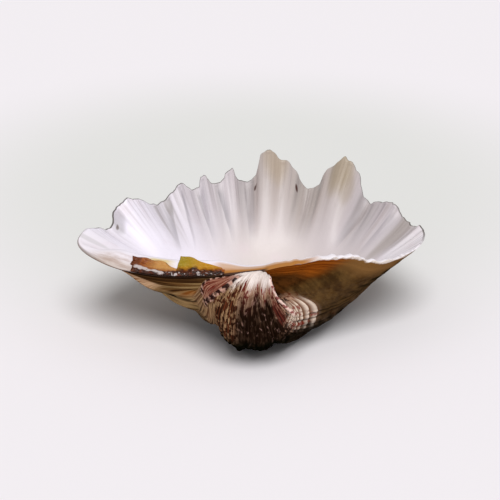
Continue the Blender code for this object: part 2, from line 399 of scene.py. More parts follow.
def shrink(x, turn):
    """Size after a turn: e to the minus rate times turn, with a rate that rises towards the two ends.

    A bulge holds the turn back on the umbo, and the last turns close along a quarter of an ellipse.
    """
    end_rate = np.where(x < 0, SHRINK_LEFT, SHRINK_RIGHT)
    rate = SHRINK_MIDDLE + (end_rate - SHRINK_MIDDLE) * np.abs((x + 2) / 100)**1.5
    closing = np.clip((turn - CLOSING_TURN) / (LAST_TURN - CLOSING_TURN), 0, 1)
    return np.exp(-rate * (turn - 0.42 * ramp(turn, 1.3, 3.2))) * np.sqrt(1 - closing**2)


def turned(x, y, z, turn):
    """Points turned back about the X axis, broadened, swayed to the left and tilted on the umbo."""
    broad = x * (1 + 0.5 * ramp(turn, 1.2, 2.8))
    sway = 12 * ramp(turn, 0, 2) * ramp(turn, 4.7, 2.9)
    return np.stack([
        broad - sway,
        y * np.cos(turn) + z * np.sin(turn),
        z * np.cos(turn) - y * np.sin(turn) - 0.3 * ramp(turn, 1, 2.8) * broad,
    ], -1)


def grown(distance, turn):
    """The margin point at this distance, carried back by a turn. Its folds stand out more as they age."""
    x, y = plan(distance)
    folds = height(FOLDS, distance)
    z = folds + 0.2 * ramp(turn, 0, 0.4) * (folds - height(CALM, distance)) + AXIS_DEPTH
    size = shrink(x, turn)
    return turned(x * size, y * size, z * size, turn) - np.array([0, 0, AXIS_DEPTH])


def trim(distance):
    """Turn by which the broken edge runs past the even folds, where it is negative, or falls short.

    It is the difference in height over the distance from the axis of growth.
    """
    x, y = plan(distance)
    return (height(FOLDS, distance) - height(EDGE, distance)) / np.hypot(0.5 * x, y + 20)


print("size of the margin after half a turn of the spiral:", round(float(shrink(0.0, pi)), 3))

# %% [markdown]
# ## Shelf and hollow
# Along the hinge the margin is a broad flat shelf with a groove for the ligament. On the free sides it is
# only the broken thickness of the wall. A Solidify modifier would give an even wall, which a shell hasn't.
# The hollow is a spiral of its own about an axis under the shelf. It shrinks faster, so the wall thickens
# with age, and its folds fade into a smooth floor.

# %% Shelf and hollow
SHELF = [
    (0, 9), (30, 13), (75, 16), (95, 15), (112, 8), (126, 2.2), (142, 1.8), (430, 1.8), (455, 2.5),
    (480, 4), (505, 7),
]
SHELF_RISE, GROOVE_DEPTH, EDGE_BULGE = 4, 1.5, 0.4
CAVITY_AXIS = np.array([-2.0, 11.0, -9.0])


def shelf(distance, edge, share):
    """A point on the flat margin: the edge moved inward by a share of the shelf's width.

    Left of the beak the shelf rises inward by 4 mm and carries a groove 1.5 mm deep. On the free sides it
    bulges a little, as a broken edge that has been rubbed round.
    """
    x, y = plan(distance)
    far = ramp(y, 20, 44)
    square = np.stack([0.45 * (-8 - x), 60 * (1 - far) + (42 - y) * far], -1)
    square /= np.linalg.norm(square, axis=-1, keepdims=True)
    hinge = ramp(distance, 8, 30) * ramp(distance, 112, 88)
    groove = GROOVE_DEPTH * ramp(share, 0.05, 0.15) * ramp(share, 0.72, 0.62)
    bulge = EDGE_BULGE * np.sin(pi * share) * ramp(distance, 100, 130)
    move = square * (share * through(SHELF, distance))[..., None]
    rise = hinge * (SHELF_RISE * ramp(share, 0, 0.9) - groove) + bulge
    return edge + np.concatenate([move, rise[..., None]], -1)


def hollow(distance, inner_edge, share):
    """Points down the hollow: the shelf's inner edge turned about the cavity's axis, shrinking as it goes."""
    x, y, z = np.moveaxis(inner_edge - CAVITY_AXIS, -1, 0)
    turn = share**1.5 * (1.2 + 1.2 * ramp(y + CAVITY_AXIS[1], 15, 45))
    z = z - ramp(turn, 0, 0.45) * (height(FOLDS, distance) - height(CALM, distance))
    size = shrink(x, turn)**1.12 * (1 - 0.06 * ramp(turn, 0, 0.3))
    return turned(x * size, y * size, z * size, turn) + CAVITY_AXIS, turn


print("shelf width at the ligament in mm:", round(float(through(SHELF, np.array(60.0))), 1))

# %% [markdown]
# ## Fine relief on a grid
# Riblets, growth steps and dents could be a bump in the material, but a silhouette needs real height, so
# they are pushed out along the surface's normal. On a grid that is the cross product of the grid's two
# directions, which numpy gives for all points at once. The unevenness is a sum of waves with whole numbers
# of turns round the margin, so that it meets itself.

# %% Fine relief
RIB_SPACING, STEP_SPACING = 9.0, 0.15


def normals(grid):
    """Unit normals of a grid whose second direction closes on itself: the cross product of its two slopes."""
    across = np.roll(grid, -1, 1) - np.roll(grid, 1, 1)
    down = np.gradient(grid, axis=0)
    cross = np.cross(across, down)
    return cross / np.maximum(np.linalg.norm(cross, axis=-1, keepdims=True), 1e-9)


def waves(seed, distance, turn, most_round, most_turn, count=24):
    """A smooth wobble of about -1 to 1: a sum of sine waves with whole numbers of turns round the margin."""
    draw = np.random.default_rng(seed)
    total = np.zeros(np.broadcast(distance, turn).shape)
    for _ in range(count):
        times = draw.integers(-most_round, most_round + 1)
        slope = draw.uniform(-most_turn, most_turn)
        total += np.sin(tau * times * distance / ROUND + slope * turn + draw.uniform(0, tau))
    return total / np.sqrt(count)


def bell(value, middle, width):
    """1 at the middle, falling off on both sides as a normal curve of this width."""
    return np.exp(-((value - middle) / width)**2)


def riblets(distance):
    """Rounded ridges with sharp grooves between: the absolute value of a cosine, spaced a little unevenly."""
    uneven = distance + 1.6 * waves(5, distance, 0.0, 14, 0.0)
    return np.abs(np.cos(pi * uneven / RIB_SPACING))


def growth_steps(turn):
    """Low steps that face the margin: a slow rise towards it, and a sudden drop at each halt in growth."""
    part = turn / STEP_SPACING - np.floor(turn / STEP_SPACING)
    return np.minimum(part / 0.15, 1) * (1 - part)


print("riblets round the margin:", int(ROUND / RIB_SPACING))

# %% [markdown]
# ## Relief of the outside
# This valve isn't even: it has hollows and swellings on its flanks, two ribs left of the beak that carry
# rows of spots, a sharp ridge right of it, and raised lamellae beyond the ridge. Each is a bell or a ramp
# in distance and turn, so it follows the shell's own lines, which a sculpted dent wouldn't. At the beak all
# of it is worn away.

# %% Relief of the outside
# Distance, turn, width, length and height in mm of each hollow or swelling.
DENTS = (
    (204, 1.75, 22, 0.55, -3.5), (148, 2.1, 26, 0.4, -2.5), (152, 1.2, 16, 0.38, -3.2),
    (212, 1.25, 18, 0.3, -2.5), (305, 1.55, 14, 0.3, -2.5), (364, 1.05, 14, 0.3, 2.5),
    (124, 0.6, 12, 0.22, 2.5),
)
# Distance of each row of spots at the turn ROWS_TURN, and how far it drifts for one more radian of turn.
SPOT_ROWS, ROWS_TURN = ((128, -37), (172, 31)), 2.3
RIDGE_AT, RIDGE_DRIFT, RIDGE_TURNS = 411, -50, (2.9, 3.9)


def outer_relief(distance, turn):
    """Height of the outer relief in mm, and of the riblets alone.

    It is the sum of riblets, growth steps, which stand high on the lamellae and hardly at all on the smooth
    left side, dimples, dents, the ridge and the ribs under the rows of spots. The finer relief shrinks with
    the shell's size.
    """
    size = np.exp(-0.55 * np.clip(turn, 0, 4))
    first = 116 + 24 * ramp(turn, 1.6, 0.8)
    folded = ramp(distance, first, first + 20) * ramp(distance, 420, 392)
    lamellar = bell(distance, 432, 34) * ramp(turn, 0.7, 1.3) * ramp(turn, 2.8, 2.2)
    uneven = turn + 0.03 * waves(11, distance, turn, 9, 5.0)
    smooth_side = ramp(distance, 4, 16) * ramp(distance, 220, 195) * ramp(turn, 2.4, 2.0)
    ribs = 1.1 * size**0.45 * (riblets(distance) - 0.6) * folded * (1 - 0.8 * ramp(turn, 2.9, 3.6))
    ribs = ribs * (1 - 0.5 * smooth_side * ramp(turn, 0.3, 0.7))
    steps = growth_steps(uneven) * (0.4 * size**0.5 * (1 - 0.93 * smooth_side) + 1.1 * lamellar)
    dimples = 0.35 * size * waves(23, distance, turn, 40, 14.0, 40) * folded
    dents = sum(high * bell(distance, round_at, wide) * bell(turn, turn_at, long)
                for round_at, turn_at, wide, long, high in DENTS)
    ridge = 1.6 * bell(distance, RIDGE_AT + RIDGE_DRIFT * ramp(turn, *RIDGE_TURNS), 6) * ramp(turn, 1.6, 2.4)
    rows = sum(bell(distance, at + drift * (turn - ROWS_TURN), 9) for at, drift in SPOT_ROWS)
    rows = 0.9 * rows * ramp(turn, 1.9, 2.4) * ramp(turn, 3.7, 3.3)
    return (ribs + steps + dimples + ridge + rows + dents) * ramp(turn, 4.5, 3.4), ribs


def chips(distance):
    """Small bites out of the free edge, as a turn: the sharp peaks of a fast wobble, and a crinkled lip."""
    bites = 0.005 * np.clip(waves(31, distance, 0.0, 190, 0.0, 60) - 0.5, 0, 2)
    crinkles = 0.003 * waves(37, distance, 0.0, 120, 0.0, 40)
    broken = ramp(distance, 132, 156) * (1 - 0.8 * ramp(distance, 376, 386))
    lip = 0.02 * waves(39, distance, 0.0, 60, 0.0) * ramp(distance, 430, 445) * ramp(distance, 515, 500)
    return (bites + crinkles) * broken + lip


relief_now = outer_relief(np.linspace(0, ROUND, 400)[None, :], np.linspace(0, 4, 60)[:, None])[0]
print("outer relief in mm, lowest and highest:", round(relief_now.min(), 1), round(relief_now.max(), 1))

# %% [markdown]
# ## The valve's surface
# The real valve is one piece, so this is one closed skin: up the hollow, over the shelf and the broken
# edge, and down the outside to the beak, as rings round the shell. The rings lie closer together near the
# margin, and their points on the free side, where most of the detail is.

# %% The outside
COLUMNS, OUTER_ROWS, INNER_ROWS = 480, 130, 50
FREE_SIDE, FREE_SHARE = (112.0, 436.0), 0.74
ROW_CROWDING, TRIM_FADES, UMBO_LIFT, LIP_DEPTH = 1.2, 6, 3.4, 0.05


def stations(count):
    """Distances round the margin: even steps on the hinge, and shorter even steps on the free side."""
    start, stop = FREE_SIDE
    hinge = (1 - FREE_SHARE) * start / (start + ROUND - stop)
    return np.interp(np.arange(count) / count, [0, hinge, hinge + FREE_SHARE, 1], [0, start, stop, ROUND])


d = stations(COLUMNS)[None, :]
start = (np.arange(OUTER_ROWS) / OUTER_ROWS)[:, None]**ROW_CROWDING * LAST_TURN
outer_turn = start + (trim(d) + chips(d)) * np.exp(-TRIM_FADES * start)
relief, ribs = outer_relief(d, outer_turn)
skin = grown(d, outer_turn)
skin = skin + normals(skin) * relief[..., None]
skin[..., 2] += UMBO_LIFT * ramp(outer_turn, 3.1, 3.9)
lip = 0.55 * waves(43, d, 0.0, 110, 0.0, 40) * ramp(d, 436, 452) * ramp(d, 516, 500)
skin[..., 2] += lip * np.exp(-outer_turn / LIP_DEPTH)
print("rings and points of the outside:", skin.shape[:2])

# %% [markdown]
# The shelf starts at the outside's first ring and the hollow at the shelf's last one. A hollow that grew
# from the broken edge would carry its bites down to the floor. So it is worked out from a smooth edge, and
# what the broken edge adds fades a little way down, as do the shallow grooves between the inner ribs.

# %% The shelf and the hollow
SHELF_SHARES = np.array([0.03, 0.08, 0.14, 0.25, 0.4, 0.52, 0.6, 0.66, 0.74, 0.85, 0.95, 1.0])[:, None]
flat = shelf(np.broadcast_to(d, (len(SHELF_SHARES), COLUMNS)), skin[:1], SHELF_SHARES)
crumbs = 0.35 * waves(41, d, SHELF_SHARES, 90, 3.0, 40)
flat[..., 2] += crumbs * ramp(SHELF_SHARES, 0.5, 1) * ramp(d, 400, 440)
smooth_edge = shelf(d, grown(d, 0.0), 1.0)
bowl, inner_turn = hollow(d, smooth_edge, (np.arange(1, INNER_ROWS + 1) / INNER_ROWS)[:, None])
bowl = bowl + (flat[-1:] - smooth_edge) * ramp(inner_turn, 0.25, 0.0)[..., None]
inner_ribs = 0.7 * (riblets(d) - 0.6) * ramp(inner_turn, 0.32, 0.03) * ramp(d, 146, 170) * ramp(d, 405, 380)
bowl = bowl - normals(bowl) * inner_ribs[..., None]
print("rings of the shelf and of the hollow:", len(flat), len(bowl))

# %% [markdown]
# ## From rings to a mesh
# Neighbouring rings are joined by four-cornered faces, and a tip closes each end. What the finishes need to
# know travels with the mesh. A value belongs to a point. A UV map belongs to a face's corner, so it can end
# at one value and start at another on the two sides of a seam, as the distance round the margin has to.

# %% From rings to a mesh
WORN_HEIGHT, CENTRE = 55.2, (-6.5, 55.7)


def posed(points):
    """From the shell's own frame to where it stands in metres, kept inside the solid's box."""
    x, y, z = np.moveaxis(points, -1, 0)
    placed = np.stack([x - CENTRE[0], y - CENTRE[1], z + WORN_HEIGHT], -1) / 1000
    return np.clip(placed, *solid_box)


def grid_faces(rows, count):
    """Faces between neighbouring rings of points that are stored ring after ring."""
    i, j = np.meshgrid(np.arange(rows - 1), np.arange(count), indexing="ij")
    a, b = i * count + j, i * count + (j + 1) % count
    return np.stack([a, b, b + count, a + count], -1).reshape(-1, 4)


def closed_piece(name, rings, corner_maps, values):
    """A closed mesh from rings whose two ends run to a tip each.

    A corner map has a column more than the rings, so that it doesn't run backwards over the seam. A value
    belongs to each point, and the two tips take the mean of their ring.
    """
    rows, count = rings.shape[:2]
    points = np.concatenate([rings.reshape(-1, 3), rings[[0, -1]].mean(1)])
    first, last = np.arange(count), (rows - 1) * count + np.arange(count)
    caps = [np.stack([np.roll(first, -1), first, np.full(count, rows * count)], -1),
            np.stack([last, np.roll(last, -1), np.full(count, rows * count + 1)], -1)]
    mesh = bpy.data.meshes.new(name)
    mesh.from_pydata(points, [], grid_faces(rows, count).tolist() + np.concatenate(caps).tolist())
    for title, table in corner_maps.items():
        a, b = table[:-1], table[1:]
        quad = np.stack([a[:, :-1], a[:, 1:], b[:, 1:], b[:, :-1]], 2).reshape(-1, 2)
        low = np.stack([table[0, 1:], table[0, :-1], table[0, :-1]], 1).reshape(-1, 2)
        high = np.stack([table[-1, :-1], table[-1, 1:], table[-1, :-1]], 1).reshape(-1, 2)
        layer = mesh.uv_layers.new(name=title)
        layer.data.foreach_set("uv", np.concatenate([quad, low, high]).astype(np.float32).ravel())
    for title, table in values.items():
        at_points = np.concatenate([table.ravel(), table[[0, -1]].mean(1)])
        mesh.attributes.new(title, "FLOAT", "POINT").data.foreach_set("value", at_points.astype(np.float32))
    mesh.update()
    mesh.shade_smooth()
    piece = bpy.data.objects.new(name, mesh)
    bpy.context.scene.collection.objects.link(piece)
    print(name, "has", sum(len(p.vertices) - 2 for p in mesh.polygons), "triangles")
    return piece


def closing(table, last=None):
    """A table with one more column that closes the round: its own first, or a value."""
    return np.concatenate([table, table[:, :1] if last is None else np.full((len(table), 1), last)], 1)


print("faces between two rings of the valve:", len(grid_faces(2, COLUMNS)))

# %% [markdown]
# ## The valve
# Two maps say where on the shell a corner is: how far round and how old, and how far over the shelf and
# down the hollow. The finishes are written in those terms. Two values hold the height of the riblets and of
# the folds. The inside and the outside are two slots of one mesh, because they meet without a gap.

# %% The valve
rings = np.concatenate([bowl[::-1], flat[::-1], skin])
shape = rings.shape[:2]
inside_rows = INNER_ROWS + len(SHELF_SHARES)
share_round = closing(np.broadcast_to(d / ROUND, shape), 1.0)
age = np.concatenate([np.broadcast_to(outer_turn[:1], (inside_rows, COLUMNS)), outer_turn])
over = np.concatenate([np.ones((INNER_ROWS, 1)), SHELF_SHARES[::-1], np.zeros((OUTER_ROWS, 1))])
deep_down = np.concatenate([inner_turn[::-1], np.zeros((len(SHELF_SHARES) + OUTER_ROWS, COLUMNS))])
growth_map = np.stack([share_round, closing(0.1 * age)], -1)
part_map = np.stack([closing(np.broadcast_to(over, shape)), closing(0.1 * deep_down)], -1)
rib_height = np.concatenate([inner_ribs[::-1], np.zeros((len(SHELF_SHARES), COLUMNS)), ribs])
fold_height = np.broadcast_to((height(FOLDS, d) - height(CALM, d)) / 10, shape)
valve = closed_piece("valve_skin", posed(rings), {"growth": growth_map, "part": part_map},
                     {"ribs": rib_height, "fold": fold_height})
outside_face = np.zeros(len(valve.data.polygons), np.int32)
outside_face[inside_rows * COLUMNS:(shape[0] - 1) * COLUMNS] = 1
outside_face[-COLUMNS:] = 1
valve.data.polygons.foreach_set("material_index", outside_face)
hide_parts("valve")
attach(valve, "root")
print("faces of the outside:", int(outside_face.sum()))

# %% [markdown]
# ## The ligament
# A horny ligament once pulled the two valves open. Dry, it cracks and flakes away in layers. Three kinds of
# remains are left in the groove: a dark layer along the outer edge, an amber skin behind it, and a raised
# olive block towards the beak. They hang together, so they are one surface, whose height over the shelf is
# made of smooth ramps.

# %% Height of the ligament's remains
LIGAMENT_FROM, LIGAMENT_TO, BLOCK_END = 23.0, 80.0, 51.0


def fray(seed, along, fineness=1.0):
    """An uneven line of about -1 to 1 along the hinge, for torn edges."""
    return waves(seed, along, 0.0, int(60 * fineness), 0.0, 30)


def back_line(along):
    """Share of the shelf's width at which the remains end: narrow at the right, and wider at the left."""
    block = (0.5 + 0.28 * ramp(along, 23, 46)) * ramp(along, BLOCK_END + 1, BLOCK_END)
    amber = 0.34 + 0.2 * ramp(along, 24, 50) + 0.22 * ramp(along, 52, 66) + 0.04 * fray(55, along)
    return np.maximum(block, amber)


def remains(along, share):
    """Height in mm over the groove's floor: the highest of the front layer, the amber skin and the block.

    A lump is added to it, and it ends at the back line and at the right end.
    """
    torn = fray(51, along)
    front = 1.9 * ramp(share, 0.04, 0.09) * ramp(share, 0.36 + 0.03 * torn, 0.27 + 0.03 * torn)
    front = front * (1 + 0.18 * fray(53, along, 3)) * ramp(along, 27, 33)
    amber = 0.9 * ramp(share, 0.2, 0.3)
    top = 2.2 + 3.3 * np.clip((along - 24) / 27, 0, 1)**0.8 + 0.2 * fray(57, along)
    block = top * ramp(share, 0.26, 0.4) * ramp(along, BLOCK_END + 0.5, BLOCK_END - 0.5)
    lump = 1.8 * bell(along, 41, 2.6) * bell(share, 0.3, 0.08)
    back = back_line(along)
    sides = ramp(share, back, back - 0.1) * ramp(along, LIGAMENT_FROM, LIGAMENT_FROM + 2)
    return (np.maximum(np.maximum(front, amber), block) + lump) * sides


print("height of the block in mm:", round(float(remains(np.array([48.0]), np.array([0.5]))[0]), 1))

# %% [markdown]
# An open sheet would show nothing from below. So a ring of this piece runs over the top and back along the
# underside, which lies just clear of the groove. The left end is torn off at a slant.

# %% The ligament's remains
LENGTHWISE, CROSSWISE, UNDERSIDE = 170, 60, 10
FRONT_SHARE, CLEAR_OF_GROOVE, SKIN_THICKNESS = 0.04, 0.28, 0.04
part_along = np.linspace(0, 1, LENGTHWISE)[:, None]
part_across = np.concatenate([np.linspace(0, 1, CROSSWISE), np.linspace(1, 0, UNDERSIDE + 2)[1:-1]])[None, :]
top_side = np.arange(part_across.size)[None, :] < CROSSWISE
torn_end = LIGAMENT_TO - 3.5 + 5.5 * part_across + 1.3 * waves(59, part_across * ROUND, 0.0, 9, 0.0)
grid_along = LIGAMENT_FROM + part_along * (torn_end - LIGAMENT_FROM)
grid_share = FRONT_SHARE + part_across * (back_line(grid_along) - FRONT_SHARE)
seat = shelf(grid_along, grown(grid_along, trim(grid_along)), grid_share)
lift = np.where(top_side, remains(grid_along, grid_share) * ramp(part_along, 1.0, 0.985), 0.0)
seat[..., 2] += CLEAR_OF_GROOVE + np.where(top_side, SKIN_THICKNESS + lift, 0.0)
place_map = closing(np.stack([grid_along / 100, grid_share], -1))
ligament = closed_piece("ligament_remains", posed(seat), {"place": place_map}, {"lift": lift})
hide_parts("ligament")
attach(ligament, "root")
print("highest remains in mm:", round(float(lift.max()), 1))

# %% [markdown]
# ## Terms of the growth map
# Such a shell is cream with strawberry-coloured blotches, in bands as it grew and in rows along the ribs. A
# pattern in space would cut through them. So the noise is read from the growth map, round a circle for the
# distance and along its axis for the turn. It meets itself and follows the growth.

# %% Terms of the growth map
class ShellFinish(Finish):
    """A finish that knows where it is on the shell, from the maps that the mesh carries.

    distance is round the margin in mm, turn is the age in radians, share runs over the shelf, deep is the
    turn down the hollow, and high is the height over the floor in mm.
    """

    def __init__(self, name, **settings):
        super().__init__(name, **settings)
        growth = self.node("UVMap", {"uv_map": "growth"})
        part = self.node("UVMap", {"uv_map": "part"})
        angle = self.part(growth, 0) * tau
        self.distance = angle * (ROUND / tau)
        self.turn = self.part(growth, 1) * 10
        self.share = self.part(part, 0)
        self.deep = self.part(part, 1) * 10
        self.cosine, self.sine = self.maths("COSINE", angle), self.maths("SINE", angle)
        self.place = self.node("TexCoord", output=3)
        self.high = self.part(self.place, 2) * 1000

    def pattern(self, width, length, detail=2, rough=0.5, age=None):
        """Noise whose features are this wide round the margin in mm, and this long in radians of growth."""
        radius = ROUND / tau / width
        path = (self.turn if age is None else age) / length
        return self.noise(self.point(self.cosine * radius, self.sine * radius, path), 1.0, detail, rough)

    def spot(self, distance, turn, wide, long):
        """1 in the middle of a round spot on the growth map, falling to 0 at its rim."""
        a, b = (self.distance - distance) / wide, (self.turn - turn) / long
        return step(a * a + b * b, 1.0, 0.3)


print("a pattern 60 mm wide goes round the margin", round(ROUND / 60, 1), "times")

# %% [markdown]
# ## The ground colour outside
# Under the blotches the outside is cream to pink, and ochre on the left, with fine streaks along the ribs
# and fine lines across. The oldest part, by the beak, has been rubbed white. The masks are soft steps in T,
# the turn, and D, the distance. A noise added to the value makes their limits ragged.

# %% The ground colour outside
coat = ShellFinish("painted outside", roughness=0.6, specular=0.0)
T, D, Z = coat.turn, coat.distance, coat.high
broad = coat.pattern(60, 0.7)
streak = coat.pattern(3.5, 0.9, 3, 0.6)
lines = coat.pattern(90, 0.03, 4, 0.65)
older = step(T, 1.3, 1.8)
left = step(D + (streak - 0.5) * 30, 268, 246)
worn = step(T + (streak - 0.5) * 0.6 + hump(D, 150, 180, 225, 250) * 0.18, 3.36, 3.74)
dirty = step(T + (broad - 0.5) * 0.6, 3.1, 2.7) * older * hump(D, 250, 270, 335, 360)
cream = layers(
    tone(streak, 0.35, 0.65, (148, 110, 88), (186, 150, 126)),
    (left * 0.85, tone(streak, 0.35, 0.6, (82, 51, 32), (168, 136, 96))),
    (step(lines, 0.6, 0.42) * 0.35, (112, 76, 52)),
    (dirty * 0.6, (98, 72, 52)),
    (worn * 0.9, tone(streak, 0.4, 0.7, (237, 222, 216), (247, 238, 234))),
)
print(coat)

# %% [markdown]
# ## Blotches
# A blotch is where a noise is higher than a level. Where the level is low they run together, as on the
# middle of the umbo. Near the beak and on the smooth left side it is high and they are rare. They are red
# when young and dark brown when old, and the middle of the umbo is sooty besides.

# %% Blotches
umbo_blotch = coat.pattern(11, 0.3) * 0.5 + coat.pattern(4.5, 0.18, 3, 0.6) * 0.5
back_blotch = coat.pattern(6, 0.09, 3, 0.6)
rounder = (coat.pattern(7, 0.1, 3, 0.6) - 0.5) * left * 0.7
blotch = (umbo_blotch + rounder) * older + back_blotch * (1 - older)
level = 0.565 - step(T, 3.75, 2.9) * 0.115 * older + left * older * 0.035
level = level + step(T, 3.45, 3.75) * 0.12 - (coat.pattern(200, 0.16, 1) - 0.5) * 0.15
level = level + hump(D, 90, 110, 195, 215) * step(T, 2.7, 2.2) * 0.25
red = layers(
    tone(broad + streak * 0.5, 0.6, 0.9, (130, 40, 38), (84, 26, 22)),
    (step(T + (broad - 0.5) * 0.8, 3.5, 3.0) * older, (30, 14, 8)),
    (left * older * 0.8, tone(streak, 0.45, 0.6, (44, 22, 13), (104, 50, 28))),
)
soot_sides = hump(D + (streak - 0.5) * 30, 248, 268, 335, 375)
soot = step(T + (broad - 0.5) * 0.8, 3.48, 2.95) * older * soot_sides
sooty = layers(
    tone(streak, 0.5, 0.75, (22, 12, 6), (66, 46, 34)),
    (step(coat.pattern(8, 0.14), 0.6, 0.68) * 0.6, (160, 124, 112)),
)
paint = layers(cream, (step(blotch - level, -0.02, 0.03) * 0.97, red), (soot * 0.88, sooty))
print(coat)

# %% [markdown]
# ## The stained left slope
# Left of the beak, under the ligament, the slope is stained in slanting olive and brown bands, and painted
# darkest right under the shelf as shade. The flank below is buff, with a paler strip along the edge. The
# slant comes from adding a little of the distance to the age that the noise reads.

# %% The stained left slope
left_slope = hump(D, 4, 20, 108, 124) * step(T, 2.1, 1.6)
left_flank = hump(D, 100, 120, 150, 200) * step(T, 1.7, 1.2)
pale_strip = hump(D, 97, 106, 122, 134) * step(T, 0.75, 0.55)
slant = T + D * 0.004
mottle = coat.noise(coat.place, 130, 4, 0.65)
grain = coat.pattern(60, 0.09, 3, age=slant) * 0.3 + mottle * 0.7
wide_grain = coat.pattern(90, 0.17, age=slant)
stain_and_shade = layers(
    tone(wide_grain, 0.38, 0.5, (140, 114, 76), (100, 68, 36)),
    (step(wide_grain, 0.5, 0.58) * 0.9, (46, 26, 12)),
    (step(D + (mottle - 0.5) * 30, 84, 100) * step(T, 0.9, 1.2) * 0.6, (156, 92, 40)),
    (step(mottle, 0.55, 0.7) * 0.35, (92, 60, 30)),
    # Painted shade: a dark brown band right under the shelf's edge.
    (step(T + (grain - 0.5) * 0.2, 0.26, 0.08), (36, 20, 10)),
)
buff_bands = coat.pattern(12, 1.4) + (mottle - 0.5) * 0.3
buff = layers(
    tone(buff_bands, 0.35, 0.6, (106, 74, 42), (184, 150, 102)),
    (step(D, 140, 172) * 0.7, (72, 62, 34)),
)
paint = layers(
    paint, (left_flank * 0.85, buff), (left_slope, stain_and_shade),
    (pale_strip * 0.9, tone(lines, 0.4, 0.6, (160, 112, 76), (222, 184, 146))),
)
print(coat)

# %% [markdown]
# ## The right slope and the lamellae
# Right of the beak lies the lunule, a smooth dark field, orange under the shelf and olive towards the
# flank. Next to the umbo the growth steps stand up as pale lamellae with red dashes. A saw tooth with the
# spacing of the steps in the mesh gives each a pale crest and a brown foot.

# %% The right slope and the lamellae
right_slope = step(D, 446, 468) * step(T, 2.4, 1.9)
right_flank = hump(D, 352, 400, 462, 478) * step(T, 1.5, 1.1)
orange = step(T + (mottle - 0.5) * 0.5, 0.9, 0.35) * step(D, 460, 486)
olive = layers(
    tone(grain, 0.38, 0.62, (54, 36, 16), (88, 64, 33)), (step(T, 0.42, 0.1), (124, 88, 48)))
lunule = layers(
    tone(grain, 0.38, 0.62, (32, 15, 4), (76, 43, 16)),
    (step(D, 494, 462) * step(T, 1.1, 0.4), olive),
    (orange * 0.9, tone(lines, 0.35, 0.6, (112, 48, 8), (164, 88, 24))),
)
lamellae = hump(D + (mottle - 0.5) * 24, 366, 388, 428, 454) * hump(T, 1.12, 1.24, 2.25, 2.65)
saw = coat.maths("FRACT", (T + (coat.pattern(60, 0.4) - 0.5) * 0.1) / STEP_SPACING)
dashes = step(coat.pattern(14, 0.2), 0.54, 0.62) * step(D, 440, 420)
ivory = layers(tone(saw, 0.9, 0.15, (120, 84, 62), (232, 212, 194)), (dashes * 0.85, (124, 40, 28)))
paint = layers(
    paint, (right_slope, lunule),
    (right_flank * 0.95, blend(step(D, 450, 380) * 0.7, olive, (68, 52, 31))),
    (lamellae, ivory),
)
print(coat)

# %% [markdown]
# ## Rows of spots
# The two ribs left of the beak carry dark spots with a brick-red field between them, and the ridge right of
# it has red dashes and a wine-red band at its foot. The distance to a row is reckoned from the numbers of
# its relief, so both drift together. A sine along the row, broken up by noise, gives the spots.

# %% Rows of spots
patchy = coat.pattern(9, 0.12) - 0.5
spots = step(coat.maths("SINE", T * 26 + (broad - 0.5) * 8) * 0.45 + patchy * 2.2, -0.3, 0.02)
upper, lower = (D - at - (T - ROWS_TURN) * drift for at, drift in SPOT_ROWS)
along_rows = hump(T + patchy * 0.4, 1.9, 2.2, 3.6, 3.8)
between = step(upper, 2, 10) * step(lower, -2, -10) * along_rows
paint = blend(between * 0.85, paint, tone(streak, 0.4, 0.65, (112, 40, 30), (182, 132, 110)))
for off_row in (upper, lower):
    on_row = hump(off_row + patchy * 20, -14, -4, 4, 14) * along_rows
    paint = blend(on_row * 0.97, paint, blend(spots * 0.98, (190, 148, 132), (30, 8, 10)))
off_ridge = D - RIDGE_AT - step(T, *RIDGE_TURNS) * RIDGE_DRIFT
on_ridge = hump(off_ridge + patchy * 6, -9, -4, 4, 9) * hump(T, 1.9, 2.2, 4.2, 4.4)
dash = step(coat.maths("SINE", T * 17 + off_ridge * 0.3) * 0.5 + patchy * 3.0, 0.05, 0.35)
rubbed_lip = step(T + (mottle - 0.5) * 0.1, 0.05, 0.02) * hump(D, 425, 440, 498, 510)
paint = layers(
    paint,
    (on_ridge, blend(dash * 0.85, (238, 206, 194), (126, 28, 28))),
    (coat.spot(128, 0.93, 9, 0.1), (36, 20, 14)),
    (coat.spot(370, 2.82, 24, 0.45) * (1 - on_ridge) * 0.7,
     tone(streak, 0.4, 0.62, (52, 18, 14), (116, 52, 42))),
    (rubbed_lip, (226, 214, 206)),
)
print(coat)

# %% [markdown]
# ## Dark grooves, mud with painted shade, and fine relief outside
# The grooves between the riblets are darker. The lowest part and the undersides of the flanks are dark
# green: partly mud, partly painted shade. The first follows the riblets' height, the second the height over
# the floor and the way the surface faces. Relief too fine for the mesh is a bump.

# %% Dark grooves, mud with painted shade, and fine relief outside
# Darker in the grooves between the riblets.
grooves = step(coat.attribute("ribs"), 0.0, -0.45) * step(T, 3.7, 3.0)
damp = coat.noise(coat.place, 160, 4, 0.6)
low = step(Z + (damp - 0.5) * 18, 25, 14)
facing_down = step(coat.part(coat.node("TexCoord", output=1), 2), -0.45, -0.7)
# Painted shade: the flanks turn dark green where they face down.
underside_shade = facing_down * step(Z, 52, 40) * step(D, 96, 130) * coat.maths("ABSOLUTE", D - 262) / 170
# Mud near the floor and painted shade under the flanks, in one mask.
mud_and_shade = coat.maths("MAXIMUM", low, underside_shade)
green = blend(step(damp, 0.55, 0.7) * step(Z, 11, 18) * 0.7, (7, 9, 4), (34, 40, 27))
paint = layers(
    paint, (grooves * (0.6 - left_flank * 0.35) * (1 - worn * 0.8), (38, 20, 12)), (mud_and_shade * 0.95, green))
coat.feed("Base Color", paint)
coat.feed("Roughness", 0.55 - mud_and_shade * 0.15 + (streak - 0.5) * 0.2)
specks = coat.bump(coat.pattern(1.6, 0.25, 3, 0.6), 0.0003)
fine_lines = coat.bump(lines * (1.0 - left_flank * 0.85), 0.0003, specks)
coat.feed("Normal", coat.bump(grain, 0.0004, fine_lines))
print(coat)
